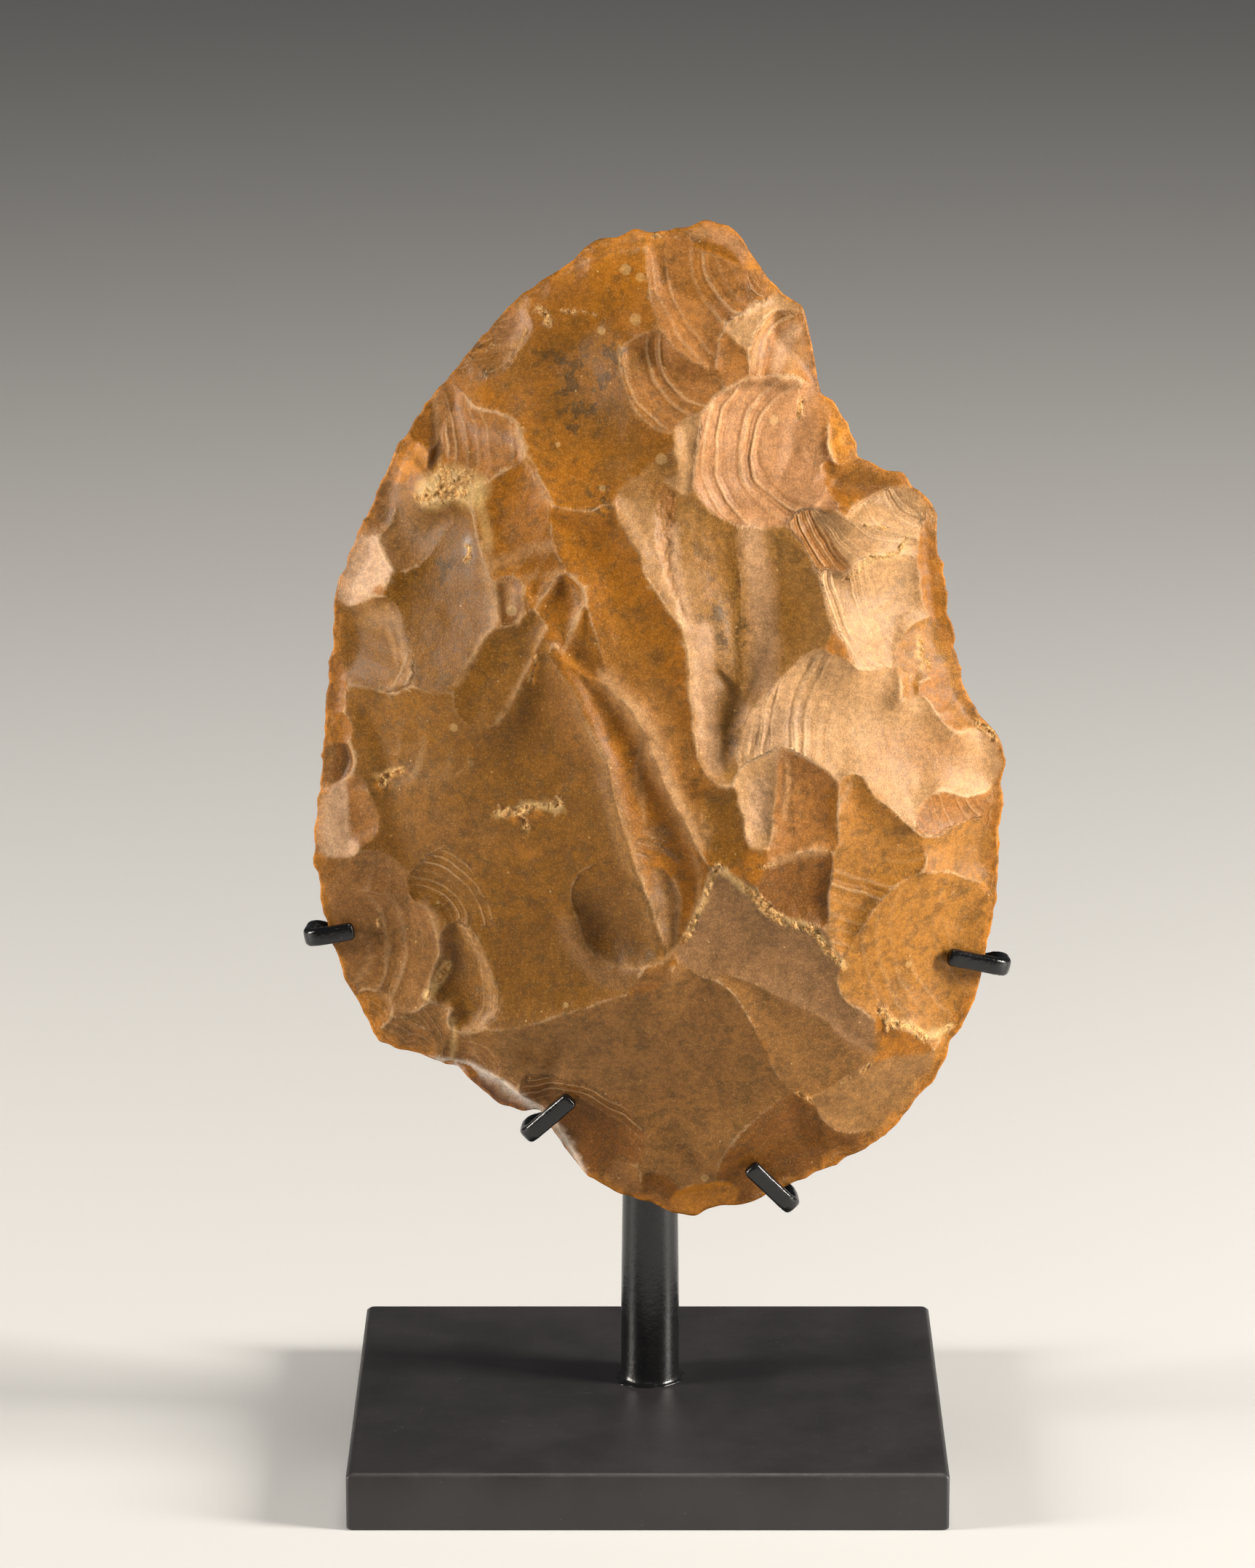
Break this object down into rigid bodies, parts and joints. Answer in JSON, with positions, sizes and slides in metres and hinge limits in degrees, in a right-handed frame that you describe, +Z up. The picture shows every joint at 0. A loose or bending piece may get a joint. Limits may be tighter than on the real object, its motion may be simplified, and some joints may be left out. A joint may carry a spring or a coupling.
{
  "type": "stone hand axe",
  "caption": "Bifacially flaked flint hand axe, oval with a pointed tip, held upright by bent metal prongs on a round post and a flat base block",
  "frame": {"origin": "centre of the base block's underside", "axes": "+Z up along the post, -Y toward the viewer of the front face, +X to that viewer's right"},
  "size_m": [0.1171, 0.08, 0.2136],
  "materials": {
    "flint": "knapped honey-brown flint, waxy, with paler patinated scars",
    "black_metal": "satin black paint over metal"
  },
  "bodies": {
    "root": {"hand_axe": "flint", "base_block": "black_metal", "post": "black_metal", "prong_upper_left": "black_metal", "prong_upper_right": "black_metal", "prong_lower_left": "black_metal", "prong_lower_right": "black_metal"}
  },
  "joints": []
}
